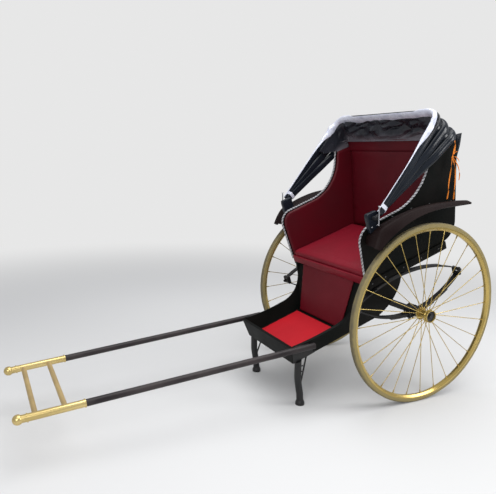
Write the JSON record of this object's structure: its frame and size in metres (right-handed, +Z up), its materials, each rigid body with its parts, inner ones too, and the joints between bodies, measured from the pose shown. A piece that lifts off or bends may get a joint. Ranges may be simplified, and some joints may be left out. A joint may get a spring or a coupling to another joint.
{
  "type": "hand-pulled rickshaw",
  "caption": "Two-wheeled passenger cart pulled by hand: an upholstered seat with footwell and folded hood on leaf springs, with two shafts joined by crossbars.",
  "frame": {"origin": "centre of the bounding box's underside, on the road", "axes": "+X forward along the shafts, +Y to the passenger's left, +Z up"},
  "size_m": [2.5827, 1.022, 1.589],
  "materials": {
    "tyre": "matt",
    "gilt_steel": "satin",
    "cap_steel": "satin",
    "black_iron": "matt",
    "bow_steel": "satin",
    "hood_cloth": "gloss",
    "shaft_wood": "satin",
    "red_vinyl": "satin",
    "red_mat": "satin",
    "cord": "matt",
    "fender_wood": "satin",
    "painted_wood": "satin"
  },
  "bodies": {
    "cab": {"axle": "black_iron", "back_board": "painted_wood", "back_cushion": "red_vinyl", "calf_board": "painted_wood", "calf_pad": "red_vinyl", "crossbar_front": "shaft_wood", "crossbar_rear": "shaft_wood", "fender_left": "fender_wood", "fender_right": "fender_wood", "foot_floor": "painted_wood", "foot_mat": "red_mat", "foot_side_left": "painted_wood", "foot_side_right": "painted_wood", "front_board": "painted_wood", "grip_left": "gilt_steel", "grip_right": "gilt_steel", "heel_board": "painted_wood", "hood_hinge_left": "black_iron", "hood_hinge_right": "black_iron", "leg_braces": "black_iron", "leg_left": "black_iron", "leg_right": "black_iron", "piping_left": "cord", "piping_right": "cord", "seat_board": "painted_wood", "seat_cushion": "red_vinyl", "seat_rails": "painted_wood", "shaft_bracket_left": "black_iron", "shaft_bracket_right": "black_iron", "shaft_left": "shaft_wood", "shaft_right": "shaft_wood", "side_board_left": "painted_wood", "side_board_right": "painted_wood", "side_pad_left": "red_vinyl", "side_pad_right": "red_vinyl", "spring_blocks": "black_iron", "spring_clamps": "black_iron", "spring_lower_left": "black_iron", "spring_lower_right": "black_iron", "spring_shackles": "black_iron", "spring_upper_left": "black_iron", "spring_upper_right": "black_iron"},
    "wheel_left": {"hub_left": "gilt_steel", "hub_cap_left": "cap_steel", "rim_left": "gilt_steel", "spokes_left": "gilt_steel", "tyre_left": "tyre"},
    "wheel_right": {"hub_right": "gilt_steel", "hub_cap_right": "cap_steel", "rim_right": "gilt_steel", "spokes_right": "gilt_steel", "tyre_right": "tyre"},
    "bow_front": {"hood_bow_front": "bow_steel", "hood_fold_front": "hood_cloth"},
    "bow_middle": {"hood_bow_middle": "bow_steel", "hood_fold_middle": "hood_cloth"},
    "bow_rear": {"hood_bow_rear": "bow_steel", "hood_fold_rear": "hood_cloth"}
  },
  "joints": [
    {"name": "wheel_left_turn", "type": "hinge", "parent": "cab", "child": "wheel_left", "pos_m": [-0.79143, 0.465, 0.5], "axis": [0, 1, 0], "continuous": true},
    {"name": "wheel_right_turn", "type": "hinge", "parent": "cab", "child": "wheel_right", "pos_m": [-0.79143, -0.465, 0.5], "axis": [0, 1, 0], "continuous": true},
    {"name": "hood_front_bow", "type": "hinge", "parent": "cab", "child": "bow_front", "pos_m": [-0.42051, 0, 1.03026], "axis": [0, 1, 0], "range_deg": [0, 85]},
    {"name": "hood_middle_bow", "type": "hinge", "parent": "cab", "child": "bow_middle", "pos_m": [-0.42051, 0, 1.03026], "axis": [0, 1, 0], "range_deg": [0, 52]},
    {"name": "hood_rear_bow", "type": "hinge", "parent": "cab", "child": "bow_rear", "pos_m": [-0.42051, 0, 1.03026], "axis": [0, 1, 0], "range_deg": [0, 18]}
  ],
  "couplings": [
    {"joint": "hood_middle_bow", "follows": "hood_front_bow", "ratio": 0.61177},
    {"joint": "hood_rear_bow", "follows": "hood_front_bow", "ratio": 0.21177}
  ]
}
